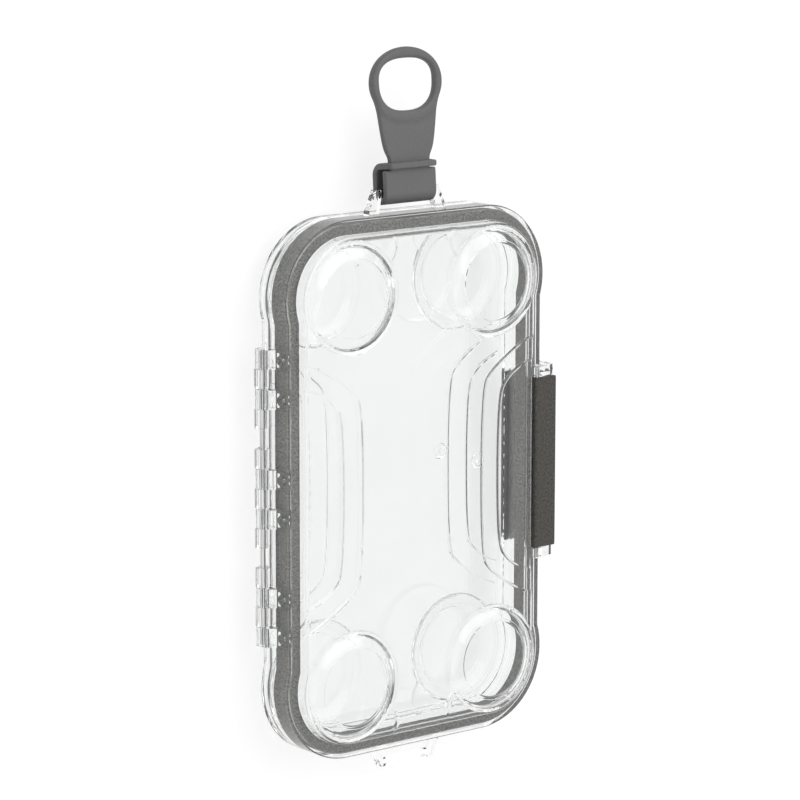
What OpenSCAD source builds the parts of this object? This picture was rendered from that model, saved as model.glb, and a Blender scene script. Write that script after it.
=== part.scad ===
// Hinged clear case that keeps a phone dry, lying on its back with its front up.
// X runs across it from hinge to latch, Y along it towards the strap, Z up.
// Its rear pads stand on z = 0, and the middle of its outline is the origin.

/* [Case outline] */
// Length over the top and bottom edges
case_l = 172; // [160:1:190]
// Width across the straight middle of the sides
case_w = 102.8; // [94:0.5:112]
// Outer radius of the corners
corner_r = 24.1; // [22:0.1:27]
// How far each round corner stands out past the straight side
corner_bulge = 1.1; // [0.2:0.1:2]

/* [Covers] */
// Thickness of the outer side walls
side_wall = 1.4; // [1:0.1:2]
// Thickness of the front frame over the liner
frame_t = 1.2; // [0.8:0.1:1.8]
// Thickness of the see-through panels
panel_wall = 1.8; // [1.2:0.1:2.2]
// Thickness of the panel's border wall
border_wall = 1.1; // [0.8:0.1:1.4]
// Height of the front cover's side, from the seam to its frame
front_depth = 10.1; // [8:0.1:16]
// Height of the rear cover's side, from its frame to the seam
rear_depth = 3.6; // [3:0.1:8]
// Gap between the closed covers
seam_gap = 0.2; // [0.1:0.05:0.4]
// Rise of the panel's border above the frame
border_rise = 2.4; // [2:0.1:3]
// Rise of each of the two steps towards the panel's middle
step_rise = 0.5; // [0.2:0.05:0.8]
// Slope width of the panel's border wall
border_slope = 0.4; // [0.2:0.1:0.8]
// Radius of the rounding along the panel's rim
rim_round = 0.8; // [0.4:0.1:1]
// Rounding of the covers' outer edges
edge_round = 0.4; // [0.2:0.05:0.6]

/* [Corner pads] */
// Radius of a pad's flat top
pad_top_r = 13.3; // [10:0.1:15]
// Radius of a pad where it leaves the panel
pad_foot_r = 18; // [16:0.1:18.4]
// Rise of a pad above the panel
pad_rise = 2.1; // [1:0.1:3]

/* [Side recesses] */
// Half width of the panel between the upper steps
step_in_x = 24.5; // [20:0.1:27]
// Half width of the panel between the lower steps
step_out_x = 31.8; // [29:0.1:34]
// Half length of the upper step's straight stretch
step_in_y = 31; // [26:0.5:33]
// Half length of the lower step's straight stretch
step_out_y = 28; // [22:0.5:30]
// How far the upper step has run out when it reaches the panel's border
step_in_run = 12; // [8:0.5:13]
// How far the lower step has run out when it reaches the panel's border
step_out_run = 7; // [4:0.5:9]

// Half width of the raised strip between two pads at the panel's ends
end_in_x = 10.4; // [8:0.1:12]
// Depth of the small steps beside that strip
end_step = 0.3; // [0.2:0.05:0.4]

/* [Seal liner] */
// Width of the liner, seen from the front
liner_w = 3.4; // [2.5:0.1:4]
// Height of the liner
liner_h = 6.4; // [5:0.1:6.6]
// Width of the groove that takes the rear cover's rib
groove_w = 2; // [1.6:0.1:2.4]
// Depth of that groove
groove_d = 1; // [0.8:0.1:1.4]
// Thickness of the rear cover's sealing rib
rib_t = 1; // [0.8:0.1:1.2]
// Clearance between the sealing rib's edge and the bottom of its groove
seal_clear = 0.3; // [0.2:0.05:0.4]

/* [Hinge] */
// Length of one knuckle with its gap
knuckle_pitch = 6.3; // [5:0.1:7]
// Outer radius of a knuckle
knuckle_r = 2.2; // [2:0.05:2.8]
// Radius of the steel pin
pin_r = 0.8; // [0.6:0.05:1]
// Radial running clearance round the pin
pin_clear = 0.06; // [0.02:0.01:0.1]
// Gap between neighbouring knuckles
knuckle_gap = 0.25; // [0.15:0.05:0.5]
// Gap between a knuckle and the other cover's side
knuckle_clear = 0.3; // [0.2:0.05:0.5]
// How far an arm's window stands out of the side
arm_proud = 1; // [0.6:0.1:1.4]
// Outer radius of the eyelet in an arm's window
eyelet_r = 1.6; // [1.2:0.1:1.9]

/* [Latch] */
// Length of the latch bar
latch_l = 56.4; // [44:0.2:64]
// Thickness of the latch's plates
latch_t = 1.9; // [1.5:0.1:2.4]
// How far the latch stands out past the side
latch_reach = 5.9; // [5:0.1:8]
// Radius of the latch's barrel
barrel_r = 1.3; // [1.1:0.05:1.5]
// Radius of the latch's steel pin
latch_pin_r = 0.6; // [0.4:0.05:0.8]
// Thickness of the ears that hold the latch
ear_t = 3.2; // [2:0.1:4]
// Gap between the latch and what it moves past
latch_clear = 0.3; // [0.2:0.05:0.5]
// How far the rear cover's catch stands out
catch_reach = 2.6; // [2:0.1:3]
// Height of the rear cover's catch
catch_h = 2; // [1.5:0.1:2.6]

/* [Bails] */
// Length of the top bail along the edge
bail_l = 31; // [26:0.5:38]
// Length of the bottom bail along the edge
tail_l = 27; // [20:0.5:34]
// Distance from the edge to the middle of a bail's bar
bail_reach = 6; // [5.8:0.1:9]
// Radius of a bail's bar
bail_bar_r = 1.4; // [1.2:0.1:2]
// Height of a bail's middle above the seam
bail_z = 3.6; // [2:0.1:5]

/* [Strap] */
// Width of the strap's loop
strap_w = 20.4; // [16:0.2:22]
// Thickness of the strap
strap_t = 2; // [1.6:0.1:2.6]
// Clearance between the strap's loop and the bail's bar
strap_clear = 0.15; // [0.1:0.05:0.3]
// Distance from the bail's bar to the top of the keeper
loop_l = 9.6; // [8:0.2:14]
// Clearance between the neck and the keeper's slot
slot_clear = 0.2; // [0.1:0.05:0.4]
// Distance from the bail's bar to the widest place of the ring
ring_at = 34.4; // [32:0.2:40]
// Outer width of the ring
ring_w = 28.4; // [26:0.2:32]
// Outer height of the ring
ring_h = 22.2; // [20:0.2:25]
// Width of the ring's rim
rim_w = 3.1; // [2.6:0.1:4]
// Thickness of the ring's rim
rim_t = 3; // [2.4:0.1:4]
// How far the strap leans back, in degrees
strap_lean = 4; // [0:0.5:8]

/* [Hidden] */
$fn = 96;
eps = 0.01;

// Corner centres, and heights above the surface that the case lies on
corner_x = case_w / 2 + corner_bulge - corner_r;
corner_y = case_l / 2 - corner_r;
panel_rise = border_rise + 2 * step_rise;
rear_z = panel_rise + pad_rise;
seam_z = rear_z + rear_depth;
front_z = seam_z + front_depth;
side_x = case_w / 2;

// Inset of the panel's border wall and of the cavity from the outline
border_in = side_wall + liner_w;

// Shares of a pad's slope and of its rise, from its foot to its flat
pad_steps = [[0, 0], [0.1, 0.3], [0.27, 0.53], [0.5, 0.72], [0.75, 0.86], [0.96, 0.93], [1, 1]];

// Hinge axis, and the rows of knuckles counted from the strap's end
row_count = 15;
arm_rows = [0, 2, 6, 8, 12, 14];
knuckle_rows = [1, 3, 5, 7, 9, 11, 13];
hinge_x = -(side_x + knuckle_clear + knuckle_r);
hinge_z = seam_z;
window_z = seam_z + front_depth / 2;
window_top = front_z - 0.4;
eyelet_hole = 0.75;
window_rim = 0.7;

// Latch pin's axis, and the latch's outer face
latch_x = side_x - liner_w + knuckle_clear * 2;
latch_z = front_z + latch_clear + barrel_r;
latch_out = side_x + latch_reach;
latch_top = latch_z + 0.5;
catch_z = rear_z + 0.9;
hook_h = 1.7;
ear_y = latch_l / 2 + latch_clear;
ear_in = side_x - border_in - 0.2;
ear_out = latch_out - 0.2;
ear_rise = 1.5;
latch_corner = 1.5;

// Bail bars and the strap's loop round the top one
bar_y = case_l / 2 + bail_reach;
bar_z = seam_z + bail_z;
loop_in = bail_bar_r + strap_clear;
loop_out = loop_in + strap_t;
strap_front = bar_z + loop_in;
keeper_y = bar_y + loop_l;
keeper_r = 4;
keeper_w = strap_w - 2;
lip_t = 1.6;
neck_w = 16;
paddle_low_w = strap_w - 0.7;
paddle_top_w = 0.84 * ring_w;
paddle_flare = 4.7;
ring_y = bar_y + ring_at;
ring_join = 6.9;
hole_up = ring_h / 2 - 1.35 * rim_w;
hole_down = ring_h / 2 - 0.55 * rim_w;

// Middle of the round gate marks
gate_at = [22.3, 4.5];

// The case's outline, drawn in by a distance
module outline(inset) {
    for (sx = [-1, 1], sy = [-1, 1])
        translate([sx * corner_x, sy * corner_y]) circle(r = corner_r - inset);
    square([case_w - 2 * inset, 2 * corner_y], center = true);
    square([2 * corner_x, case_l - 2 * inset], center = true);
}

// A layer of the case's outline between two heights
module layer(inset, low, high) {
    translate([0, 0, low]) linear_extrude(high - low) outline(inset);
}

// A solid of the outline whose wall follows a list of [inset, height] points
module walled(profile) {
    low = profile[0][1];
    high = profile[len(profile) - 1][1];
    for (sx = [-1, 1], sy = [-1, 1])
        translate([sx * corner_x, sy * corner_y, 0]) rotate_extrude()
            polygon(concat([[0, low]], [for (p = profile) [corner_r - p[0], p[1]]], [[0, high]]));
    rotate([90, 0, 0]) translate([0, 0, -corner_y]) linear_extrude(2 * corner_y)
        wall_section(case_w / 2, profile);
    rotate([90, 0, 90]) translate([0, 0, -corner_x]) linear_extrude(2 * corner_x)
        wall_section(case_l / 2, profile);
}

// Section across such a solid, from one wall to the opposite one
module wall_section(half, profile) {
    last = len(profile) - 1;
    polygon(concat([for (p = profile) [half - p[0], p[1]]],
                   [for (i = [last : -1 : 0]) [profile[i][0] - half, profile[i][1]]]));
}

// The outline between two heights, with its upper edge broken
module edged_layer(low, high) {
    walled([[0, low], [0, high - edge_round], [edge_round, high]]);
}

// A raised block with sloping border walls and a rounded rim, up to a height
module rimmed(inset, height) {
    bend = 0.29 * rim_round;
    top = inset + border_slope;
    walled([[inset, -eps], [top, height - rim_round], [top + bend, height - bend],
            [top + rim_round, height]]);
}

// The recess along one long side: straight in the middle, running out at both ends
module side_recess(half_x, half_y, run) {
    far = case_w;
    blend = 4;
    bow = 2.4;
    edge = side_x - border_in - blend / 2;
    polygon([[far, -half_y - run - 1], [edge, -half_y - run], [half_x + blend, -half_y - bow],
             [half_x, -half_y + blend], [half_x, half_y - blend], [half_x + blend, half_y + bow],
             [edge, half_y + run], [far, half_y + run + 1]]);
}

// The small step beside one pad at an end of a panel
module end_recess() {
    corner = case_l / 2 - border_in - border_slope - rim_round;
    flare = 2;
    far = 1.5 * flare;
    straight = 2.5 * flare;
    foot = corner - 4.25 * flare;
    polygon([[end_in_x + flare, corner + far], [end_in_x + flare, corner],
             [end_in_x, corner - flare], [end_in_x, corner - straight], [end_in_x + flare, foot],
             [corner_x, corner_y], [corner_x, corner], [end_in_x + 2 * flare, corner + far]]);
}

// Everything of a cover's panel that stands above its frame, from z = 0 upwards
module panel_relief(inset) {
    difference() {
        rimmed(inset, panel_rise);
        for (k = [0, 1]) mirror([k, 0, 0]) {
            translate([0, 0, border_rise + step_rise]) linear_extrude(panel_rise)
                side_recess(step_in_x, step_in_y, step_in_run);
            translate([0, 0, border_rise]) linear_extrude(panel_rise)
                side_recess(step_out_x, step_out_y, step_out_run);
            for (j = [0, 1]) mirror([0, j, 0])
                translate([0, 0, panel_rise - end_step]) linear_extrude(panel_rise) end_recess();
        }
    }
}

// One round corner pad on a panel: a round shoulder that ends in a crisp flat
module pad(foot, top, base, rise) {
    shoulder = [for (s = pad_steps) [foot - s[0] * (foot - top), base + s[1] * rise]];
    rotate_extrude() polygon(concat([[0, base - 1], [foot, base - 1]], shoulder,
                                    [[0, base + rise]]));
}

// Places its children at the four corner centres
module corners() {
    for (sx = [-1, 1], sy = [-1, 1])
        translate([sx * corner_x, sy * corner_y, 0]) children();
}

// A cover's panel as a solid, and the hollow inside it
module panel_solid() {
    panel_relief(border_in);
    corners() pad(pad_foot_r, pad_top_r, panel_rise, pad_rise);
}

module panel_hollow() {
    translate([0, 0, -panel_wall]) {
        panel_relief(border_in + border_wall);
        corners() pad(pad_foot_r - panel_wall, pad_top_r - panel_wall / 2, panel_rise, pad_rise);
    }
}

// Small round gate mark on a panel, at a height
module gate_mark(z) {
    translate([gate_at[0], gate_at[1], z]) difference() {
        cylinder(h = 0.5, r = 2.5);
        translate([0, 0, 0.2]) cylinder(h = 1, r = 1.9);
    }
    translate([gate_at[0], gate_at[1], z]) cylinder(h = 0.5, r = 0.7);
}

// Places its children at one row of the hinge, with the row's gap taken off
module hinge_row(row) {
    y0 = (row_count / 2 - row - 1) * knuckle_pitch;
    translate([0, y0 + knuckle_pitch - knuckle_gap / 2, 0])
        rotate([90, 0, 0]) linear_extrude(knuckle_pitch - knuckle_gap) children();
}

// The pin's bore along the whole hinge
module hinge_bore(radius) {
    half = row_count * knuckle_pitch / 2;
    translate([hinge_x, half, hinge_z]) rotate([90, 0, 0]) cylinder(h = 2 * half, r = radius);
}

// Side view of an arm of the front cover: knuckle, web and window
module arm_profile() {
    translate([hinge_x, hinge_z]) circle(r = knuckle_r);
    polygon([[hinge_x, hinge_z], [hinge_x - knuckle_r, hinge_z],
             [hinge_x - knuckle_r + 0.5, hinge_z + 1.2 * knuckle_r],
             [-side_x - arm_proud - 0.5, window_z], [-side_x - arm_proud, window_z],
             [-side_x - arm_proud, window_top], [-side_x + 0.5, window_top],
             [-side_x + 0.5, seam_z + seam_gap], [hinge_x + 1, seam_z + seam_gap]]);
}

// Side view of a knuckle of the rear cover with its web
module knuckle_profile() {
    translate([hinge_x, hinge_z]) circle(r = knuckle_r);
    polygon([[hinge_x - knuckle_r, hinge_z], [hinge_x + 1, hinge_z - seam_gap],
             [-side_x + 0.5, hinge_z - seam_gap], [-side_x + 0.5, rear_z + 0.3],
             [-side_x - 0.9, rear_z + 0.3], [hinge_x - knuckle_r, hinge_z - 1.2]]);
}

// Round eyelet in the window of an arm
module eyelet(row) {
    y = (row_count / 2 - row - 0.5) * knuckle_pitch;
    z = (window_z + window_top) / 2;
    translate([-side_x, y, z]) rotate([0, -90, 0]) difference() {
        cylinder(h = arm_proud + 0.1, r = eyelet_r);
        cylinder(h = arm_proud + 1, r = eyelet_hole);
    }
}

module window_pocket(row) {
    y = (row_count / 2 - row - 0.5) * knuckle_pitch;
    half = (knuckle_pitch - knuckle_gap) / 2 - window_rim;
    translate([-side_x - arm_proud - 1, y - half, window_z + window_rim])
        cube([1 + arm_proud, 2 * half, window_top - window_z - window_rim]);
}

// A loop moulded on an end of the front cover; the bar lies parallel to X
module bail(length) {
    base = case_l / 2 - side_wall;
    foot = 3.4;
    taper = 4.2;
    bend = 0.6;
    thick = 2 * bail_bar_r;
    half = length / 2;
    top = half - taper;
    translate([0, 0, bar_z - thick / 2]) linear_extrude(thick) for (k = [0, 1]) mirror([k, 0])
        polygon([[half - foot, base], [half, base], [half, case_l / 2 + bend],
                 [top + 2 * bend, bar_y + bail_bar_r], [top - bend, bar_y + bail_bar_r],
                 [top - bend, bar_y - bail_bar_r], [half - foot - bend, case_l / 2]]);
    translate([-top, bar_y, bar_z]) rotate([0, 90, 0]) cylinder(h = 2 * top, r = bail_bar_r);
}

// One ear of the latch, seen from the side, and its pin hole
module ear() {
    chamfer = 2;
    rotate([90, 0, 0]) translate([0, 0, -ear_t]) linear_extrude(ear_t) union() {
        translate([latch_x, latch_z]) circle(r = barrel_r);
        polygon([[ear_in, front_z + ear_rise], [ear_in, front_z - frame_t],
                 [side_x - side_wall / 2, front_z - frame_t], [side_x - side_wall / 2, seam_z + 1],
                 [ear_out - chamfer, seam_z + 1], [ear_out, seam_z + 1 + chamfer],
                 [ear_out, front_z - 0.4], [ear_out - 0.8, front_z + 0.6],
                 [latch_x, latch_z + barrel_r]]);
    }
}

module latch_bore(radius) {
    half = ear_y + ear_t + 1;
    translate([latch_x, half, latch_z]) rotate([90, 0, 0]) cylinder(h = 2 * half, r = radius);
}

// Upper half of the case: frame, side wall, raised panel, pads, arms, ears and bails
module front_cover() {
    color([0.9, 0.92, 0.92, 0.35]) difference() {
        union() {
            edged_layer(seam_z + seam_gap / 2, front_z);
            translate([0, 0, front_z]) panel_solid();
            gate_mark(front_z + panel_rise - 0.1);
            for (row = arm_rows) hinge_row(row) arm_profile();
            for (k = [0, 1]) mirror([0, k, 0]) translate([0, ear_y, 0]) ear();
            bail(bail_l);
            mirror([0, 1, 0]) bail(tail_l);
        }
        layer(side_wall, seam_z - 1, front_z - frame_t);
        translate([0, 0, front_z]) panel_hollow();
        hinge_bore(pin_r + pin_clear);
        latch_bore(latch_pin_r);
        for (row = arm_rows) window_pocket(row);
    }
    color([0.9, 0.92, 0.92, 0.35]) for (row = arm_rows) eyelet(row);
}

// Lower half: frame, low side wall, panel, pads, sealing rib, knuckles and catch
module rear_cover() {
    rib_in = side_wall + (liner_w - rib_t) / 2;
    rib_top = front_z - frame_t - liner_h + groove_d - seal_clear;
    color([0.88, 0.9, 0.9, 0.35]) difference() {
        union() {
            difference() {
                translate([0, 0, rear_z]) mirror([0, 0, 1])
                    edged_layer(seam_gap / 2 - rear_depth, 0);
                layer(side_wall, rear_z + panel_wall, seam_z + 1);
            }
            difference() {
                layer(rib_in, rear_z + 1, rib_top);
                layer(rib_in + rib_t, rear_z, rib_top + 1);
            }
            translate([0, 0, rear_z]) mirror([0, 0, 1]) panel_solid();
            translate([0, 0, rear_z]) mirror([0, 0, 1]) gate_mark(panel_rise - 0.1);
            for (row = knuckle_rows) hinge_row(row) knuckle_profile();
            latch_catch();
        }
        translate([0, 0, rear_z]) mirror([0, 0, 1]) panel_hollow();
        hinge_bore(pin_r + pin_clear);
    }
}

// Rail on the rear cover's side that the latch's inner face rides over
module latch_catch() {
    half = latch_l / 2 - ear_t;
    translate([0, half, catch_z]) rotate([90, 0, 0]) linear_extrude(2 * half)
        polygon([[side_x - 0.5, 0], [side_x + catch_reach, 0], [side_x + catch_reach, catch_h / 2],
                 [side_x + catch_reach - catch_h / 2, catch_h], [side_x - 0.5, catch_h]]);
}

// Soft grey ring under the front frame, grooved for the rear cover's rib
module seal_liner() {
    fit = 0.02;
    top = front_z - frame_t - fit;
    bottom = top - liner_h;
    groove_in = side_wall + (liner_w - groove_w) / 2;
    color([0.42, 0.42, 0.41]) difference() {
        layer(side_wall + fit, bottom, top);
        layer(border_in, bottom - 1, top + 1);
        difference() {
            layer(groove_in, bottom - 1, bottom + groove_d);
            layer(groove_in + groove_w, bottom - 2, bottom + groove_d + 1);
        }
    }
}

// Steel pin through all the knuckles
module hinge_pin() {
    half = row_count * knuckle_pitch / 2 - 0.6;
    color("silver") translate([hinge_x, half, hinge_z]) rotate([90, 0, 0])
        cylinder(h = 2 * half, r = pin_r);
}

// Dark bar that turns on its pin over the front frame and hooks under the catch
module latch() {
    color([0.2, 0.2, 0.19]) difference() {
        intersection() {
            translate([0, latch_l / 2, 0]) rotate([90, 0, 0]) linear_extrude(latch_l) latch_profile();
            linear_extrude(2 * latch_z) latch_plan();
        }
        latch_bore(latch_pin_r + pin_clear);
    }
}

// The latch from above: its two outer corners are rounded
module latch_plan() {
    far = latch_l / 2;
    square([2 * (latch_out - latch_corner), latch_l], center = true);
    square([2 * latch_out, latch_l - 2 * latch_corner], center = true);
    for (sy = [-1, 1])
        translate([latch_out - latch_corner, sy * (far - latch_corner)]) circle(r = latch_corner);
}

// The latch from its end: barrel, top plate, side plate and hook
module latch_profile() {
    hook_top = rear_z - latch_clear;
    hook_x = side_x - border_in + latch_clear + pin_r;
    plate_low = latch_z - 0.9;
    inner = latch_out - latch_t;
    translate([latch_x, latch_z]) circle(r = barrel_r);
    polygon([[latch_x, latch_z + barrel_r], [latch_x, plate_low], [inner - 0.8, plate_low],
             [inner, plate_low - 0.8], [inner, hook_top], [hook_x + 0.4, hook_top],
             [hook_x, hook_top - 0.4], [hook_x, hook_top - hook_h + 0.5],
             [hook_x + 0.5, hook_top - hook_h], [latch_out - 1, hook_top - hook_h],
             [latch_out, hook_top - hook_h + 1], [latch_out, latch_top - 1],
             [latch_out - 1, latch_top], [latch_x + 2, latch_top]]);
}

// Steel pin held in the ears
module latch_pin() {
    half = ear_y + ear_t - 0.4;
    color("silver") translate([latch_x, half, latch_z]) rotate([90, 0, 0])
        cylinder(h = 2 * half, r = latch_pin_r);
}

// Strap in one piece: a loop round the bail's bar, a keeper, a paddle and a ring
module carry_strap() {
    edge = 0.5;
    color([0.36, 0.36, 0.36]) translate([0, bar_y, bar_z]) rotate([-strap_lean, 0, 0])
        translate([0, -bar_y, -bar_z]) {
            difference() {
                translate([-strap_w / 2, 0, 0]) rotate([90, 0, 90])
                    linear_extrude(strap_w) loop_profile();
                keeper_cuts();
            }
            translate([0, 0, strap_front]) linear_extrude(strap_t) difference() {
                paddle();
                ring_hole(0);
            }
            ring_layer(rim_t, edge);
            ring_layer(rim_t - 2 * edge, 0);
        }
}

// Side view of the loop: front layer, wrap, back layer, and the keeper's bent plate
module loop_profile() {
    back = bar_z - loop_out;
    difference() {
        translate([bar_y, bar_z]) circle(r = loop_out);
        translate([bar_y, bar_z]) circle(r = loop_in);
        translate([bar_y, bar_z - loop_out - 1]) square(2 * loop_out + 2);
    }
    translate([bar_y - eps, strap_front]) square([loop_l - strap_t - slot_clear, strap_t]);
    translate([bar_y - eps, back]) square([loop_l - keeper_r + 2 * eps, strap_t]);
    difference() {
        translate([keeper_y - keeper_r, back + keeper_r]) circle(r = keeper_r);
        translate([keeper_y - keeper_r, back + keeper_r]) circle(r = keeper_r - strap_t);
        translate([keeper_y - 3 * keeper_r, back - 1]) square([2 * keeper_r, 3 * keeper_r]);
        translate([keeper_y - 2 * keeper_r, back + keeper_r]) square(3 * keeper_r);
    }
    translate([keeper_y - strap_t, back + keeper_r - eps])
        square([strap_t, strap_front + strap_t + slot_clear + lip_t - back - keeper_r]);
}

// The keeper's slot, and its narrower front lip
module keeper_cuts() {
    slot = neck_w + 2 * slot_clear;
    translate([-slot / 2, keeper_y - strap_t - 1, strap_front - slot_clear])
        cube([slot, strap_t + 2, strap_t + 2 * slot_clear]);
    for (k = [0, 1]) mirror([k, 0, 0])
        translate([keeper_w / 2, keeper_y - strap_t - eps, strap_front + strap_t / 2])
            cube([strap_w, strap_t + 1, strap_t + lip_t]);
}

// Front view of the neck and the paddle, up to the ring's widest place
module paddle() {
    low = keeper_y - strap_t - 2 * slot_clear;
    for (k = [0, 1]) mirror([k, 0])
        polygon([[-eps, low - 1], [strap_w / 2, low - 1], [strap_w / 2, low], [neck_w / 2, low],
                 [neck_w / 2, keeper_y + slot_clear], [paddle_low_w / 2, keeper_y + paddle_flare],
                 [paddle_top_w / 2, ring_y - ring_join], [(ring_w - rim_w) / 2, ring_y],
                 [-eps, ring_y]]);
}

// A rounded outline with different heights above and below its widest place
module oval(wide, up, down, power) {
    polygon([for (a = [0 : 5 : 355])
        [wide * sign(cos(a)) * pow(abs(cos(a)), 2 / power),
         (sin(a) > 0 ? up : down) * sign(sin(a)) * pow(abs(sin(a)), 2 / power)]]);
}

// The ring's hole, widened all round by a distance
module ring_hole(grow) {
    drop = 0.2 * rim_w;
    translate([0, ring_y + drop])
        oval(ring_w / 2 - rim_w + grow, hole_up + grow, hole_down + grow, 2.5);
}

// One layer of the ring's rim, drawn in on both sides by a distance
module ring_layer(thick, inset) {
    translate([0, 0, strap_front + (strap_t - thick) / 2]) linear_extrude(thick) difference() {
        translate([0, ring_y])
            oval(ring_w / 2 - inset, ring_h / 2 - inset, ring_h / 2 - inset, 2.05);
        ring_hole(inset);
    }
}

front_cover();
rear_cover();
seal_liner();
hinge_pin();
latch();
latch_pin();
carry_strap();
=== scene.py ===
"""Looks of the hinged clear phone case, in metres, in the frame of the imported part."""
import math
from collections import namedtuple

import bmesh
import bpy
from mathutils import Matrix, Vector
from mathutils.geometry import delaunay_2d_cdt
from mathutils.kdtree import KDTree


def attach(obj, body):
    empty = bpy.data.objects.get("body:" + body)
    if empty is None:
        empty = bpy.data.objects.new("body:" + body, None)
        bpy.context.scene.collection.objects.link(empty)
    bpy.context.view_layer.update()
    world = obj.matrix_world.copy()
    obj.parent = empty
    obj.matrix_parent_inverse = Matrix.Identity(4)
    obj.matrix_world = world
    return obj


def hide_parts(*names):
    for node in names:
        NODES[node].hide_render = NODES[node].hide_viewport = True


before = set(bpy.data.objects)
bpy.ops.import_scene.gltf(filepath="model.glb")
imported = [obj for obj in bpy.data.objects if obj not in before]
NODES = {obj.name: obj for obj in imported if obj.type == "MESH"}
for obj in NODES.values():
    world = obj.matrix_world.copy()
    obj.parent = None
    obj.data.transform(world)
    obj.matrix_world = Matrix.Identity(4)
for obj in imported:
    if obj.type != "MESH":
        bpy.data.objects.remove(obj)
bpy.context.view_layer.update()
MM = 0.001


def placed(name, data):
    """A new object in the scene for a mesh, a lamp or the camera."""
    obj = bpy.data.objects.new(name, data)
    bpy.context.scene.collection.objects.link(obj)
    return obj


class Tree:
    """Short names for building the nodes of a material or world."""

    def __init__(self, block):
        block.use_nodes = True
        self.block = block
        self.tree = block.node_tree
        self.tree.nodes.clear()

    def add(self, kind, **values):
        """A node; a value goes to the node's own setting of that name, or else to its input."""
        node = self.tree.nodes.new("ShaderNode" + kind)
        for key, value in values.items():
            if hasattr(node, key):
                setattr(node, key, value)
            else:
                node.inputs[key.replace("_", " ")].default_value = value
        return node

    def link(self, a, b):
        self.tree.links.new(a, b)

    def noise(self, scale, detail, rough):
        """Noise fixed to the object, as a value around 0.5."""
        n = self.add("TexNoise", Scale=scale, Detail=detail, Roughness=rough)
        self.link(self.add("TexCoord").outputs["Object"], n.inputs["Vector"])
        return n.outputs["Fac"]

    def ramp(self, source, low, high):
        """A colour that runs from one (position, colour) stop to the other."""
        r = self.add("ValToRGB")
        for stop, (position, colour) in zip(r.color_ramp.elements, (low, high)):
            stop.position = position
            stop.color = (*colour, 1.0)
        self.link(source, r.inputs["Fac"])
        return r.outputs["Color"]

    def span(self, source, low, high, source_low=0.0, source_high=1.0):
        """A value that runs from low to high while its source crosses a range."""
        m = self.add("MapRange", From_Min=source_low, From_Max=source_high, To_Min=low, To_Max=high)
        self.link(source, m.inputs["Value"])
        return m.outputs["Result"]

    def bump(self, height, strength, distance):
        b = self.add("Bump", Strength=strength, Distance=distance)
        self.link(height, b.inputs["Height"])
        return b.outputs["Normal"]

    def seen(self):
        """1 for what the camera sees, also in gloss and through clear pieces; 0 for diffuse light."""
        rays = self.add("LightPath").outputs
        largest = rays["Is Camera Ray"]
        for kind in ("Is Glossy Ray", "Is Transmission Ray"):
            larger = self.add("Math", operation="MAXIMUM")
            self.link(largest, larger.inputs[0])
            self.link(rays[kind], larger.inputs[1])
            largest = larger.outputs[0]
        return largest

    def either(self, factor, off, on):
        """One of two shaders, chosen by a factor."""
        mix = self.add("MixShader")
        self.link(factor, mix.inputs["Fac"])
        self.link(off.outputs[0], mix.inputs[1])
        self.link(on.outputs[0], mix.inputs[2])
        return mix

    def output(self, shader, kind="OutputMaterial"):
        self.link(shader.outputs[0], self.add(kind).inputs["Surface"])
        return self.block


def clear_plastic(name, tint, rough):
    """Polished clear moulding: faint flow waves, fine scuffs in its gloss."""
    t = Tree(bpy.data.materials.new(name))
    p = t.add("BsdfPrincipled", Transmission_Weight=1.0, IOR=1.5)
    waves = t.noise(38.0, 2.0, 0.5)
    scuffs = t.noise(420.0, 5.0, 0.7)
    lighter = [min(1.0, c + 0.012) for c in tint]
    t.link(t.ramp(waves, (0.35, tint), (0.65, lighter)), p.inputs["Base Color"])
    t.link(t.span(scuffs, rough, rough + 0.02, 0.45, 0.8), p.inputs["Roughness"])
    t.link(t.bump(waves, 0.12, 0.0006), p.inputs["Normal"])
    return t.output(p)


def soft_rubber(name, dark, light, grain, rough=0.62, strength=0.35, sheen=0.0):
    """Moulded soft rubber with a fine eroded texture."""
    t = Tree(bpy.data.materials.new(name))
    p = t.add("BsdfPrincipled", IOR=1.48, Sheen_Weight=sheen, Sheen_Roughness=0.5)
    fine = t.noise(grain, 6.0, 0.72)
    broad = t.noise(55.0, 3.0, 0.5)
    mix = t.add("Mix", data_type="RGBA", blend_type="MULTIPLY", Factor=1.0)
    t.link(t.ramp(fine, (0.4, dark), (0.62, light)), mix.inputs["A"])
    t.link(t.ramp(broad, (0.3, (0.93, 0.93, 0.93)), (0.7, (1.0, 1.0, 1.0))), mix.inputs["B"])
    t.link(mix.outputs["Result"], p.inputs["Base Color"])
    t.link(t.span(fine, rough - 0.08, rough + 0.1, 0.3, 0.7), p.inputs["Roughness"])
    t.link(t.bump(fine, strength, 0.00012), p.inputs["Normal"])
    return t.output(p)


def steel(name):
    """Drawn steel wire: fine scratches along Y."""
    t = Tree(bpy.data.materials.new(name))
    p = t.add("BsdfPrincipled", Metallic=1.0)
    drawn = t.add("Mapping", Scale=(1600.0, 60.0, 1600.0))
    n = t.add("TexNoise", Scale=1.0, Detail=3.0)
    t.link(t.add("TexCoord").outputs["Object"], drawn.inputs["Vector"])
    t.link(drawn.outputs["Vector"], n.inputs["Vector"])
    scratches = n.outputs["Fac"]
    t.link(t.ramp(scratches, (0.3, (0.46, 0.46, 0.45)), (0.7, (0.72, 0.72, 0.71))), p.inputs["Base Color"])
    t.link(t.span(scratches, 0.22, 0.38), p.inputs["Roughness"])
    return t.output(p)


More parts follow.
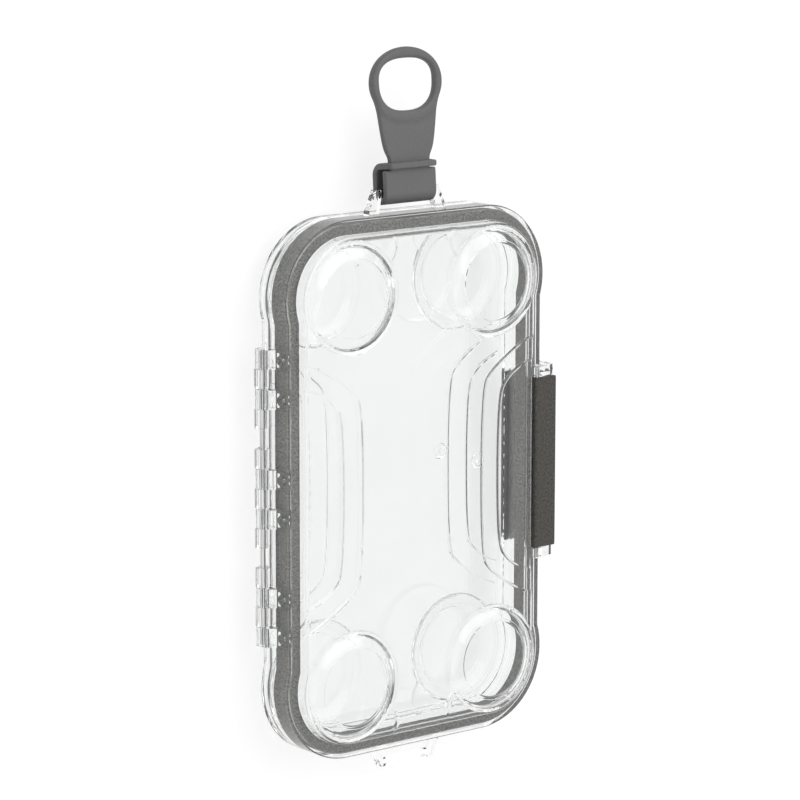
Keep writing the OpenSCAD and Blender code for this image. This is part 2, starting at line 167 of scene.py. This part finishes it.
clear_front = clear_plastic("clear_front_look", (0.965, 0.97, 0.97), 0.01)
clear_rear = clear_plastic("clear_rear_look", (0.965, 0.97, 0.97), 0.01)
liner_look = soft_rubber("liner_look", (0.13, 0.129, 0.123), (0.41, 0.408, 0.395), 1500.0, 0.6, 0.6)
latch_look = soft_rubber("latch_look", (0.016, 0.014, 0.0115), (0.082, 0.074, 0.062), 1500.0, 0.45, 0.3)
strap_look = soft_rubber("strap_look", (0.105, 0.105, 0.105), (0.14, 0.14, 0.14), 3000.0, 0.55, 0.15, 0.1)
pin_look = steel("pin_look")


# Strap: one soft piece, built flat along the strap and then leant back round the bail's bar
BAR_Y, BAR_Z, LEAN = 92.0, 12.7, math.radians(4.0)
RING_S, RING_HALF, RING_UP = 34.4, 14.2, 11.1
HOLE_HALF, HOLE_UP, HOLE_DOWN, HOLE_S = 11.1, 6.92, 9.4, RING_S + 0.62
LAYER_H, HALF_T, RIM_T, RIM_ROUND, ROUND_POWER = 2.55, 1.0, 0.5, 0.75, 2.3
LOOP_HALF, LOOP_START, BEND_S, BEND_R, END_R = 10.2, 7.2, 5.6, 3.0, 0.45
# heights on the keeper's plate, each with the plate's half width there
KEEPER_SIDES = ((0.45, 10.2), (1.35, 10.2), (2.3, 10.15), (2.8, 9.8), (3.4, 9.35), (3.9, 9.2), (4.5, 9.2),
                (5.35, 9.2))
SLOT_HALF, SLOT_S, SLOT_H = 8.2, (7.3, 10.4), (1.35, 3.75)
SPACING, RIM_ROWS, FLAT_GRID = 0.55, (0.06, 0.2, 0.42, 0.72, 1.05, 1.4), 0.7


def leant(x, s, h):
    """A point of the strap, s along it and h above the bar's axis, in metres of the part."""
    y = BAR_Y + s * math.cos(LEAN) + h * math.sin(LEAN)
    z = BAR_Z - s * math.sin(LEAN) + h * math.cos(LEAN)
    return Vector((x, y, z)) * MM


def oval(wide, up, down, power, at, count=120):
    """A squarish oval, anticlockwise: half width, reach up and down, and the height of its middle."""
    pts = []
    for i in range(count):
        a = 2 * math.pi * i / count
        c, q = math.cos(a), math.sin(a)
        y = (up if q > 0 else down) * math.copysign(abs(q) ** (2 / power), q)
        pts.append(Vector((wide * math.copysign(abs(c) ** (2 / power), c), at + y)))
    return pts


def resampled(points, step):
    """The closed polyline with even spacing."""
    ring = points + points[:1]
    total = sum((b - a).length for a, b in zip(ring, ring[1:]))
    count = max(8, round(total / step))
    out, travelled, i = [], 0.0, 0
    for k in range(count):
        goal = total * k / count
        while travelled + (ring[i + 1] - ring[i]).length < goal:
            travelled += (ring[i + 1] - ring[i]).length
            i += 1
        seg = ring[i + 1] - ring[i]
        out.append(ring[i] + seg * ((goal - travelled) / max(seg.length, 1e-9)))
    return out


def smoothed(points, rounds):
    """Corner cutting on a closed polyline."""
    for _ in range(rounds):
        nxt = points[1:] + points[:1]
        points = [p for a, b in zip(points, nxt) for p in (a * 0.75 + b * 0.25, a * 0.25 + b * 0.75)]
    return points


def blade_outline():
    """Ring, paddle and neck from the front: the right half, then mirrored."""
    ring = oval(RING_HALF, RING_UP, RING_UP, 2.05, RING_S, 90)
    arc = [p for p in ring if p.x > -1e-6 and p.y > RING_S - 5.2]
    arc.sort(key=lambda p: math.atan2(p.y - RING_S, p.x), reverse=True)
    side = [(11.95, 27.4), (11.35, 23.2), (10.65, 18.6), (10.0, 15.2), (9.35, 13.1), (8.3, 11.3),
            (8.0, 10.0), (8.0, 7.5), (8.0, 5.0)]
    right = arc + [Vector(p) for p in side]
    left = [Vector((-p.x, p.y)) for p in reversed(right) if p.x > 1e-6]
    return resampled(smoothed(right + left, 3), SPACING)


def nearness(loop):
    """A tree of close points on a closed polyline, to ask distances from."""
    pts = [a + (b - a) * (k / 8) for a, b in zip(loop, loop[1:] + loop[:1]) for k in range(8)]
    tree = KDTree(len(pts))
    for i, p in enumerate(pts):
        tree.insert((p.x, p.y, 0.0), i)
    tree.balance()
    return lambda q: tree.find((q.x, q.y, 0.0))[2]


def inside(p, loop):
    """Whether a point lies inside a closed polyline."""
    hit = False
    for a, b in zip(loop, loop[1:] + loop[:1]):
        if (a.y > p.y) != (b.y > p.y) and p.x < a.x + (b.x - a.x) * (p.y - a.y) / (b.y - a.y):
            hit = not hit
    return hit


def soft_step(low, high, value):
    """From 0 at low to 1 at high, with smooth ends."""
    t = max(0.0, min(1.0, (value - low) / (high - low)))
    return t * t * (3 - 2 * t)


def blade_mesh(bm):
    """The strap's flat part as two skins over a shared outline, thick and rounded along its rim."""
    outer = blade_outline()
    hole = resampled(oval(HOLE_HALF, HOLE_UP, HOLE_DOWN, 2.5, HOLE_S), SPACING)
    to_outer, to_inner = nearness(outer), nearness(hole)
    n = len(outer)
    flat = outer + hole
    edges = [(i, (i + 1) % n) for i in range(n)]
    edges += [(n + i, n + (i + 1) % len(hole)) for i in range(len(hole))]
    extra = []
    for loop in (outer, hole):
        for i, p in enumerate(loop):
            along = (loop[(i + 1) % len(loop)] - loop[i - 1]).normalized()
            inward = Vector((along.y, -along.x))
            extra += [(p + inward * d, d) for d in RIM_ROWS]
    y = 5.5
    while y < RING_S + RING_UP + 1:
        x = -13.65
        while x < RING_HALF:
            extra.append((Vector((x, y)), 1.55))
            x += FLAT_GRID
        y += FLAT_GRID
    points = [p for p, d in extra if inside(p, outer) and not inside(p, hole)
              and min(to_outer(p), to_inner(p)) > d - 0.03]
    res = delaunay_2d_cdt(flat + points, edges, [], 0, 1e-5)
    verts, faces = res[0], res[2]
    top, under = {}, {}
    for i, p in enumerate(verts):
        to_hole, to_edge = to_inner(p), to_outer(p)
        rim = 1.0 - soft_step(2.5, 4.4, to_hole)
        half = HALF_T + RIM_T * rim - (0.03 if p.y < 7.4 else 0.0)
        radius = RIM_ROUND + RIM_T * rim
        d = min(to_hole, to_edge)
        bulge = half * (1.0 - (1.0 - min(d / radius, 1.0)) ** ROUND_POWER) ** (1 / ROUND_POWER)
        top[i] = bm.verts.new(leant(p.x, p.y, LAYER_H + bulge))
        under[i] = top[i] if d < 1e-3 else bm.verts.new(leant(p.x, p.y, LAYER_H - bulge))
    for f in faces:
        mid = sum((verts[i] for i in f), Vector((0, 0))) / len(f)
        if not inside(mid, outer) or inside(mid, hole):
            continue
        if all(top[i] is under[i] for i in f):
            continue
        a, b, c = (verts[i] for i in f[:3])
        up = (b - a).cross(c - a) > 0
        ids = list(f) if up else list(reversed(f))
        bm.faces.new([top[i] for i in ids])
        bm.faces.new([under[i] for i in reversed(ids)])


def ribbon_path():
    """Middle of the loop's side view as (s, h, direction in degrees, half width)."""
    pts = [(s, LAYER_H, 180.0, LOOP_HALF) for s in (LOOP_START, 6.2, 5.0, 3.0, 1.0, 0.0)]
    for i in range(1, 24):
        a = 90.0 + 180.0 * i / 24
        turn = math.radians(a)
        pts.append((LAYER_H * math.cos(turn), LAYER_H * math.sin(turn), a + 90.0, LOOP_HALF))
    pts += [(s, -LAYER_H, 0.0, LOOP_HALF) for s in (0.0, 2.0, 4.0, BEND_S)]
    for i in range(1, 12):
        a = -90.0 + 90.0 * i / 12
        turn = math.radians(a)
        pts.append((BEND_S + BEND_R * math.cos(turn), KEEPER_SIDES[0][0] + BEND_R * math.sin(turn), a + 90.0,
                    LOOP_HALF))
    return pts + [(BEND_S + BEND_R, h, 90.0, half) for h, half in KEEPER_SIDES]


def ribbon_section(half, shrink):
    """Rounded section across the ribbon, drawn in by a distance."""
    w, t = half - shrink, HALF_T - shrink
    r = max(0.05, min(0.6, t - 0.02))
    out = []
    for cx, cy, a0 in ((w - r, t - r, 0), (r - w, t - r, 90), (r - w, r - t, 180), (w - r, r - t, 270)):
        for k in range(6):
            a = math.radians(a0 + 18.0 * k)
            out.append((cx + r * math.cos(a), cy + r * math.sin(a)))
    return out


def ribbon_mesh(bm):
    """The loop round the bail and the keeper's bent plate: a rounded section along the path."""
    rows = []

    def row(s, h, heading, half, shrink, ahead):
        a = math.radians(heading)
        s, h = s + ahead * math.cos(a), h + ahead * math.sin(a)
        rows.append([bm.verts.new(leant(u, s - v * math.sin(a), h + v * math.cos(a)))
                     for u, v in ribbon_section(half, shrink)])

    path = ribbon_path()
    for k in range(4):
        e = math.radians(22.5 * k)
        row(*path[0], END_R * (1 - math.sin(e)), END_R * (1 - math.cos(e)))
    for p in path[1:-1]:
        row(*p, 0.0, 0.0)
    for k in range(1, 5):
        e = math.radians(22.5 * k)
        row(*path[-1], END_R * (1 - math.cos(e)), -END_R * (1 - math.sin(e)))
    n = len(rows[0])
    for a, b in zip(rows, rows[1:]):
        for i in range(n):
            bm.faces.new([a[i], a[(i + 1) % n], b[(i + 1) % n], b[i]])
    bm.faces.new(list(reversed(rows[0])))
    bm.faces.new(rows[-1])
    bmesh.ops.recalc_face_normals(bm, faces=bm.faces)


def slot_box(bm):
    """The keeper's slot as a closed box."""
    v = [bm.verts.new(leant(x, s, h)) for x in (-SLOT_HALF, SLOT_HALF) for s in SLOT_S for h in SLOT_H]
    for ids in ((0, 1, 3, 2), (4, 6, 7, 5), (0, 4, 5, 1), (2, 3, 7, 6), (0, 2, 6, 4), (1, 5, 7, 3)):
        bm.faces.new([v[i] for i in ids])
    bmesh.ops.recalc_face_normals(bm, faces=bm.faces)


def mesh_of(name, fill):
    """The mesh that a function builds."""
    bm = bmesh.new()
    fill(bm)
    me = bpy.data.meshes.new(name)
    bm.to_mesh(me)
    bm.free()
    return me


def carved(name, solid, tool):
    """Mesh of one closed form with another one taken out of it."""
    a = placed(name, solid)
    b = placed(name + "_tool", tool)
    cut = a.modifiers.new("cut", "BOOLEAN")
    cut.operation = "DIFFERENCE"
    cut.solver = "EXACT"
    cut.object = b
    me = bpy.data.meshes.new_from_object(a.evaluated_get(bpy.context.evaluated_depsgraph_get()))
    bpy.data.objects.remove(a)
    bpy.data.objects.remove(b)
    return me


def make_strap():
    """Loop, keeper and blade as one piece, which stands for the CAD's strap."""
    bm = bmesh.new()
    bm.from_mesh(carved("loop", mesh_of("loop", ribbon_mesh), mesh_of("slot", slot_box)))
    bm.from_mesh(mesh_of("blade", blade_mesh))
    me = bpy.data.meshes.new("strap_piece")
    bm.to_mesh(me)
    bm.free()
    me.materials.append(strap_look)
    for p in me.polygons:
        p.use_smooth = True
    obj = placed("strap_piece", me)
    wn = obj.modifiers.new("even shading", "WEIGHTED_NORMAL")
    wn.mode = "FACE_AREA"
    wn.weight = 60
    wn.keep_sharp = False
    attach(obj, "strap")
    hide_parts("carry_strap")


# Panel: one smooth surface over the case's outline, with soft steps, rounded rim, pads and gate mark
HALF_W, HALF_L, CORNER_R, CORNER_X, CORNER_Y = 51.4, 86.0, 24.1, 28.4, 61.9
BORDER_OUT, BORDER_IN = 4.8, 5.9
RISE, STEP, END_STEP, RIM_R, WALL_SLOPE, PAD_RISE = 3.4, 0.5, 0.3, 0.8, 6.5, 2.0995
RIM_REACH = 5.577  # for a rim that touches both wall and top: the root of 1 + WALL_SLOPE squared, less 1
LONG_INWARD, ROUNDED_ANGLE, PANEL_CREASE, COVER_CREASE = 4.5, 28.0, 18.0, 50.0
PAD_STEPS = ((0, 0), (0.1, 0.3), (0.27, 0.53), (0.5, 0.72), (0.75, 0.86), (0.96, 0.93), (1, 1))
GATE, GATE_RISE = Vector((22.3, 4.5)), 0.4

# One side of a cover's panel: height of its base, the way it rises (1 or -1 along Z), distance from
# the case's outline to its wall, height at which the new surface starts, radii of a pad's foot and
# flat, whether it is the outer side, and half the width of its softened steps
Panel = namedtuple("Panel", "base side border start foot flat outer soft")


def side_recess(half_x, half_y, run):
    """A side recess's edge, from the panel's wall at the top to the one at the bottom."""
    edge = HALF_W - BORDER_OUT - 2.0
    right = [(60.0, half_y + run + 3.0), (edge, half_y + run), (half_x + 4.0, half_y + 2.4),
             (half_x, half_y - 4.0)]
    return [Vector(p) for p in right] + [Vector((x, -y)) for x, y in reversed(right)]


def rounded(points, rounds=3):
    """Corner cutting on an open polyline."""
    for _ in range(rounds):
        out = [points[0]]
        for a, b in zip(points, points[1:]):
            out += [a * 0.75 + b * 0.25, a * 0.25 + b * 0.75]
        points = out + [points[-1]]
    return points


RECESSES = [rounded(side_recess(24.5, 31.0, 12.0)), rounded(side_recess(31.8, 28.0, 7.0))]
END_LINE = rounded([Vector(p) for p in ((16.0, 84.0), (12.4, 80.2), (10.4, 78.0), (10.4, 75.0), (12.4, 71.5),
                                        (16.0, 67.0))], 2)


def inset_at(x, y):
    """How far a point lies inside the case's outline."""
    x, y = abs(x), abs(y)
    best = CORNER_R - math.hypot(x - CORNER_X, y - CORNER_Y)
    if y <= CORNER_Y:
        best = max(best, HALF_W - x)
    if x <= CORNER_X:
        best = max(best, HALF_L - y)
    return best


def beyond(p, line):
    """Signed distance from a polyline: positive on its right side, seen along it."""
    best, sign = 1e9, 1.0
    for a, b in zip(line, line[1:]):
        ab = b - a
        f = max(0.0, min(1.0, (p - a).dot(ab) / ab.length_squared))
        off = p - (a + ab * f)
        if off.length < best:
            best, sign = off.length, ab.y * off.x - ab.x * off.y
    return math.copysign(best, sign)


def level_at(x, y, panel):
    """Height of the panel's flats above its base: the raised middle, the side recesses and the end steps."""
    p = Vector((abs(x), abs(y)))
    top = RISE
    if p.y < 50:
        for line in RECESSES:
            top -= STEP * soft_step(-panel.soft, panel.soft, -beyond(Vector((p.x, y)), line))
    if p.y > 66 and p.x < CORNER_X:
        from_pad = (p - Vector((CORNER_X, CORNER_Y))).length
        clear_of_pad = soft_step(panel.foot - 0.2, panel.foot + 0.9, from_pad)
        top -= END_STEP * soft_step(-0.8, 0.8, beyond(p, END_LINE)) * clear_of_pad
    return top


def panel_height(x, y, panel):
    """Height of the panel inside its rim: flats, pads and, on the outside, the round gate mark."""
    from_pad = math.hypot(abs(x) - CORNER_X, abs(y) - CORNER_Y)
    h = level_at(x, y, panel)
    if from_pad < panel.foot:
        s = (panel.foot - from_pad) / (panel.foot - panel.flat)
        if s >= 1:
            return RISE + PAD_RISE
        for (s0, r0), (s1, r1) in zip(PAD_STEPS, PAD_STEPS[1:]):
            if s <= s1:
                h = max(h, RISE + PAD_RISE * (r0 + (r1 - r0) * (s - s0) / (s1 - s0)))
                break
    r = (Vector((x, y)) - GATE).length
    if panel.outer and r < 3:
        ring = soft_step(2.6, 2.4, r) if r > 2.2 else soft_step(1.8, 2.0, r)
        h += max(GATE_RISE * ring, 0.1 if r < 2.2 else 0.0, GATE_RISE * soft_step(0.8, 0.6, r))
    return h


def mirrored(points):
    """The points in all four quarters of the panel."""
    return [Vector((sx * p.x, sy * p.y)) for p in points for sx in (1, -1) for sy in (1, -1)]


def beside(line, spacing, offsets):
    """Rows of points along a polyline, at some distances to its sides."""
    out = []
    for a, b in zip(line, line[1:]):
        n = (b - a).normalized()
        n = Vector((n.y, -n.x))
        count = max(1, round((b - a).length / spacing))
        out += [a + (b - a) * (k / count) + n * off for k in range(count) for off in offsets]
    return out


def circles(x, y, radii, count):
    """Evenly spaced points on circles round one place."""
    turns = [math.tau * k / count for k in range(count)]
    return [Vector((x + r * math.cos(a), y + r * math.sin(a))) for r in radii for a in turns]


def panel_points(panel):
    """Points for the surface: close together where it bends, and a wide grid on its flats."""
    pts = []
    for line in RECESSES:
        offsets = [panel.soft * f for f in (-1.4, -1.0, -0.5, 0.0, 0.5, 1.0, 1.4)]
        row = beside(line, max(0.4, panel.soft), offsets)
        pts += row + [Vector((-q.x, q.y)) for q in row]
    pts += mirrored(beside(END_LINE, 0.6, (-1.1, -0.8, -0.5, -0.25, 0.0, 0.25, 0.5, 0.8, 1.1)))
    slope = panel.foot - panel.flat
    radii = [panel.foot + 1.0, panel.foot + 0.5, panel.foot + 0.05, 8.0]
    radii += [panel.foot - slope * f
              for f in (0.03, 0.1, 0.18, 0.27, 0.38, 0.5, 0.62, 0.75, 0.86, 0.955, 1.0, 1.03)]
    pts += mirrored(circles(CORNER_X, CORNER_Y, radii, 96))
    if panel.outer:
        pts += [GATE + q for q in circles(0.0, 0.0, (0.6, 0.8, 1.8, 2.0, 2.4, 2.6), 32)]
    return pts + [Vector((4.0 * i + 0.13, 4.0 * j + 0.11)) for i in range(-11, 12) for j in range(-20, 21)]


def lift(v, panel):
    """How far a vertex lies above the panel's base."""
    return (v.co.z / MM - panel.base) * panel.side


def in_panel(v, panel):
    """Whether a vertex lies on a cover's panel, from the foot of its new wall inwards."""
    first = panel.border + panel.start / WALL_SLOPE
    return lift(v, panel) > panel.start - 0.02 and inset_at(v.co.x / MM, v.co.y / MM) > first - 0.012


def round_edges(bm, width, segments, panels):
    """Rounds a cover's sharp edges away from its panels, and leaves long inward ones sharp."""
    sharp = [e for e in bm.edges if len(e.link_faces) == 2
             and (e.is_convex or e.calc_length() < LONG_INWARD * MM)
             and e.calc_face_angle(0.0) > math.radians(ROUNDED_ANGLE)
             and not any(in_panel(v, panel) for v in e.verts for panel in panels)]
    bmesh.ops.bevel(bm, geom=sharp, offset=width, segments=segments, profile=0.5, affect="EDGES",
                    clamp_overlap=True)


def cut_out(bm, panel, facing):
    """Takes the panel's old faces out of the mesh, spreading from its largest flat."""
    flats = [f for f in bm.faces if f.normal.z * facing > 0.99
             and all(abs(lift(v, panel) - RISE) < 0.02 for v in f.verts)]
    seed = max(flats, key=lambda f: f.calc_area())
    old, stack = {seed}, [seed]
    while stack:
        for f in [f for e in stack.pop().edges for f in e.link_faces]:
            if f not in old and all(in_panel(v, panel) for v in f.verts) \
                    and any(lift(v, panel) > panel.start + 0.005 for v in f.verts):
                old.add(f)
                stack.append(f)
    bmesh.ops.delete(bm, geom=[f for f in bm.faces if f in old], context="FACES")


def divide_border(bm):
    """Splits the long edges of the open border, closely along the case's sides, where the recesses end."""
    for e in [e for e in bm.edges if len(e.link_faces) == 1 and e.calc_length() > 3 * MM]:
        v = e.verts[0]
        spacing = 0.3 if abs(v.co.y - e.verts[1].co.y) > 30 * MM else 1.5
        for k in range(int(e.calc_length() / MM / spacing), 1, -1):
            v = bmesh.utils.edge_split(e, v, 1.0 / k)[1]


def open_loop(bm):
    """The vertices round the mesh's one open border, in order."""
    links = {}
    for e in bm.edges:
        if len(e.link_faces) == 1:
            a, b = e.verts
            links.setdefault(a, []).append(b)
            links.setdefault(b, []).append(a)
    v, came = next(iter(links)), None
    loop = []
    while not loop or v is not loop[0]:
        loop.append(v)
        came, v = v, next(w for w in links[v] if w is not came)
    return loop


def inward_at(x, y, reach=0.05):
    """The direction in which a point's inset grows."""
    return Vector((inset_at(x + reach, y) - inset_at(x - reach, y),
                   inset_at(x, y + reach) - inset_at(x, y - reach))).normalized()


def wall_rows(bm, loop, panel):
    """Rows of vertices from the open border up the panel's wall and over its rounded rim."""
    foot_angle = math.atan(1.0 / WALL_SLOPE)
    arc = [foot_angle + (math.pi / 2 - foot_angle) * k / 6 for k in range(7)]
    rows = [loop] + [[] for _ in range(8)]
    columns = {}
    for w in loop:
        x, y = w.co.x / MM, w.co.y / MM
        inward = inward_at(x, y)
        t0 = inset_at(x, y) - panel.border
        top = level_at(x + inward.x, y + inward.y, panel)
        centre = (top + RIM_REACH * RIM_R) / WALL_SLOPE
        key = tuple(round(c, 2) for c in Vector((x, y)) + inward * (centre - t0))
        if key in columns:
            for row in rows[1:]:
                row.append(row[columns[key]])
            continue
        columns[key] = len(rows[1])
        spots = [(centre - RIM_R * math.cos(a), top - RIM_R + RIM_R * math.sin(a)) for a in arc]
        spots = [((t0 + spots[0][0]) / 2, (panel.start + spots[0][1]) / 2)] + spots
        for row, (t, h) in zip(rows[1:], spots):
            p = Vector((x, y)) + inward * (t - t0)
            row.append(bm.verts.new(Vector((p.x, p.y, panel.base + panel.side * h)) * MM))
    return rows


def joined(bm, rows, as_listed):
    """Faces between neighbouring rows, which leave out a corner where two columns run together."""
    made = set()
    n = len(rows[0])
    for lower, upper in zip(rows, rows[1:]):
        for i in range(n):
            j = (i + 1) % n
            quad = list(dict.fromkeys([lower[i], lower[j], upper[j], upper[i]]))
            if len(quad) > 2:
                made.add(bm.faces.new(quad if as_listed else quad[::-1]))
    return made


def filled(bm, ring, line, panel, facing):
    """Faces over the panel inside its rim, a ring of vertices whose places in mm are the line."""
    n = len(ring)
    pts, taken = [], set()
    for q in panel_points(panel):
        key = (round(q.x, 2), round(q.y, 2))
        if key not in taken and inset_at(q.x, q.y) - panel.border > 1.3:
            taken.add(key)
            pts.append(q)
    res = delaunay_2d_cdt(line + pts, [(i, (i + 1) % n) for i in range(n)], [], 0, 1e-4)
    places, triangles, origins = res[0], res[2], res[3]
    verts = []
    for q, origin in zip(places, origins):
        on_rim = [i for i in origin if i < n]
        if on_rim:
            verts.append(ring[on_rim[0]])
        else:
            z = panel.base + panel.side * panel_height(q.x, q.y, panel)
            verts.append(bm.verts.new(Vector((q.x, q.y, z)) * MM))
    made, rim = set(), set(ring)
    for f in triangles:
        vs = [verts[i] for i in f]
        a, b, c = (places[i] for i in f)
        if all(w in rim for w in vs) and not inside((a + b + c) / 3, line):
            continue
        upward = (b - a).cross(c - a) > 0
        made.add(bm.faces.new(vs if upward == (facing > 0) else vs[::-1]))
    return made


def new_panel(bm, panel):
    """Puts the smooth surface in the place of one side of a cover's panel, and returns its faces."""
    facing = panel.side if panel.outer else -panel.side
    cut_out(bm, panel, facing)
    divide_border(bm)
    rows = wall_rows(bm, open_loop(bm), panel)
    ring = list(dict.fromkeys(rows[-1]))
    line = [Vector((v.co.x / MM, v.co.y / MM)) for v in ring]
    turn = sum(a.x * b.y - b.x * a.y for a, b in zip(line, line[1:] + line[:1]))
    return joined(bm, rows, turn * facing > 0) | filled(bm, ring, line, panel, facing)


def moulded(node, name, body, mat, width, segments=2, panels=()):
    """A copy of a CAD node with rounded moulded edges and new panels, which stands for it."""
    me = NODES[node].data.copy()
    me.name = name
    bm = bmesh.new()
    bm.from_mesh(me)
    bmesh.ops.remove_doubles(bm, verts=bm.verts, dist=1e-6)
    bmesh.ops.dissolve_limit(bm, angle_limit=math.radians(0.3), verts=bm.verts, edges=bm.edges,
                             delimit=set())
    if panels:
        round_edges(bm, width, segments, panels)
    fresh = set()
    for panel in panels:
        fresh |= new_panel(bm, panel)
    for e in bm.edges:
        crease = PANEL_CREASE if all(f in fresh for f in e.link_faces) else COVER_CREASE
        e.smooth = not panels or e.calc_face_angle(0.0) < math.radians(crease)
    bm.to_mesh(me)
    bm.free()
    me.materials.clear()
    me.materials.append(mat)
    for p in me.polygons:
        p.use_smooth = True
    obj = placed(name, me)
    if not panels:
        bev = obj.modifiers.new("rounded", "BEVEL")
        bev.width = width
        bev.segments = segments
        bev.limit_method = "ANGLE"
        bev.angle_limit = math.radians(ROUNDED_ANGLE)
    wn = obj.modifiers.new("flat faces stay flat", "WEIGHTED_NORMAL")
    wn.mode = "FACE_AREA"
    wn.weight = 100
    wn.keep_sharp = True
    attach(obj, body)
    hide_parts(node)


LINER_INSET, LINER_PUSH, LINER_ROUND = 1.42, 0.07, 0.6


def outward(v):
    """The push on a vertex of the liner's outer side, in its own quarter; nothing for the others."""
    x, y = abs(v.co.x), abs(v.co.y)
    from_centre = Vector((x, y)) - Vector((CORNER_X * MM, CORNER_Y * MM))
    near, push = 0.02 * MM, LINER_PUSH * MM
    if abs(from_centre.length - (CORNER_R - LINER_INSET) * MM) < near:
        return from_centre.normalized() * push
    if abs(x - (HALF_W - LINER_INSET) * MM) < near:
        return Vector((push, 0.0))
    if abs(y - (HALF_L - LINER_INSET) * MM) < near:
        return Vector((0.0, push))
    return Vector((0.0, 0.0))


def make_liner():
    """The liner in full contact with the clear cover: its outer and top faces lie just inside the wall."""
    me = NODES["seal_liner"].data.copy()
    me.name = "liner_ring"
    bm = bmesh.new()
    bm.from_mesh(me)
    bmesh.ops.remove_doubles(bm, verts=bm.verts, dist=1e-6)
    near = 0.01 * MM
    top = max(v.co.z for v in bm.verts)
    outer = set()
    for v in bm.verts:
        move = outward(v)
        if move.length:
            outer.add(v)
        v.co.x += math.copysign(move.x, v.co.x)
        v.co.y += math.copysign(move.y, v.co.y)
        if top - v.co.z < near:
            v.co.z += LINER_PUSH * MM
    shoulder = [e for e in bm.edges if all(v in outer and top - v.co.z < near for v in e.verts)]
    bmesh.ops.bevel(bm, geom=shoulder, offset=LINER_ROUND * MM, segments=3, profile=0.5, affect="EDGES",
                    clamp_overlap=True)
    bm.to_mesh(me)
    bm.free()
    me.materials.clear()
    me.materials.append(liner_look)
    obj = placed("liner_ring", me)
    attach(obj, "front")
    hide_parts("seal_liner")


OUTER = dict(border=BORDER_OUT, foot=18.0, flat=13.3, outer=True)
INNER = dict(border=BORDER_IN, foot=16.2, flat=12.4, outer=False)
FRONT_PANELS = (Panel(base=19.2, side=1, start=0.0, soft=0.42, **OUTER),
                Panel(base=17.4, side=1, start=0.6, soft=0.42, **INNER))
REAR_PANELS = (Panel(base=5.5, side=-1, start=0.0, soft=0.2, **OUTER),
               Panel(base=7.3, side=-1, start=0.0, soft=0.2, **INNER))

moulded("front_cover", "front_shell", "front", clear_front, 0.0003, panels=FRONT_PANELS)
moulded("rear_cover", "rear_shell", "rear", clear_rear, 0.0003, panels=REAR_PANELS)
moulded("latch", "latch_bar", "latch", latch_look, 0.00035, segments=3)
make_liner()
make_strap()
for node in ("hinge_pin", "latch_pin"):
    slots = NODES[node].data.materials
    for i in range(len(slots)):
        slots[i] = pin_look


def floor_material():
    """White for the camera and for what glass and gloss show, with the object's soft shadow."""
    t = Tree(bpy.data.materials.new("floor_look"))
    plain = t.add("BsdfDiffuse", Color=(0.8, 0.8, 0.8, 1))
    shaded = t.add("BsdfDiffuse", Color=(0.24, 0.24, 0.24, 1))
    glow = t.add("Emission", Color=(1, 1, 1, 1), Strength=0.82)
    white = t.add("AddShader")
    t.link(shaded.outputs[0], white.inputs[0])
    t.link(glow.outputs[0], white.inputs[1])
    return t.output(t.either(t.seen(), plain, white))


def make_floor(half=6.0, gap=0.0002):
    me = bpy.data.meshes.new("floor")
    corners = [(sx * half, sy * half, 0) for sx, sy in ((-1, -1), (1, -1), (1, 1), (-1, 1))]
    me.from_pydata(corners, [], [(0, 1, 2, 3)])
    me.materials.append(floor_material())
    obj = placed("floor", me)
    obj.location.z = -gap


def make_world():
    """Even light all round; what is seen of it is darker to the sides of the room than above."""
    world = bpy.data.worlds.new("studio")
    bpy.context.scene.world = world
    t = Tree(world)
    light = t.add("Background", Color=(1, 1, 1, 1), Strength=0.55)
    room = t.add("Background", Color=(1, 1, 1, 1))
    direction = t.add("SeparateXYZ")
    t.link(t.add("TexCoord").outputs["Generated"], direction.inputs[0])
    t.link(t.span(direction.outputs["Z"], 0.35, 1.0, 0.05, 0.4), room.inputs["Strength"])
    t.output(t.either(t.seen(), light, room), "OutputWorld")


def make_lamp(name, at, size, power):
    """A round soft lamp that faces the middle of the case."""
    light = bpy.data.lights.new(name, "AREA")
    light.shape = "DISK"
    light.size = size
    light.energy = power
    lamp = placed(name, light)
    lamp.location = at
    lamp.rotation_euler = (-Vector(at)).to_track_quat("-Z", "Y").to_euler()


def make_camera():
    """The camera that was fitted to the photograph's edges and pads."""
    cam = bpy.data.cameras.new("camera")
    right = (0.7776452, 0.00104113, 0.62870252)
    up = (0.11456826, 0.98302002, -0.14333792)
    back = (-0.6181764, 0.1834954, 0.76432152)
    at = (-0.73168, 0.24208, 0.91500)
    cam.sensor_width = 36.0
    cam.sensor_fit = "HORIZONTAL"
    cam.lens = 167.27
    cam.clip_start = 0.05
    cam.clip_end = 50.0
    obj = placed("camera", cam)
    obj.matrix_world = Matrix([*zip(right, up, back, at), (0, 0, 0, 1)])
    bpy.context.scene.camera = obj


make_floor()
make_world()
make_lamp("key", (0.5, 0.9, 1.5), 2.2, 19.0)
make_lamp("fill", (-1.2, -0.5, 1.1), 2.6, 5.0)
make_camera()
bpy.context.scene.view_settings.view_transform = "Standard"
bpy.context.scene.cycles.max_bounces = 32
bpy.context.scene.cycles.transmission_bounces = 32
bpy.context.scene.cycles.glossy_bounces = 16
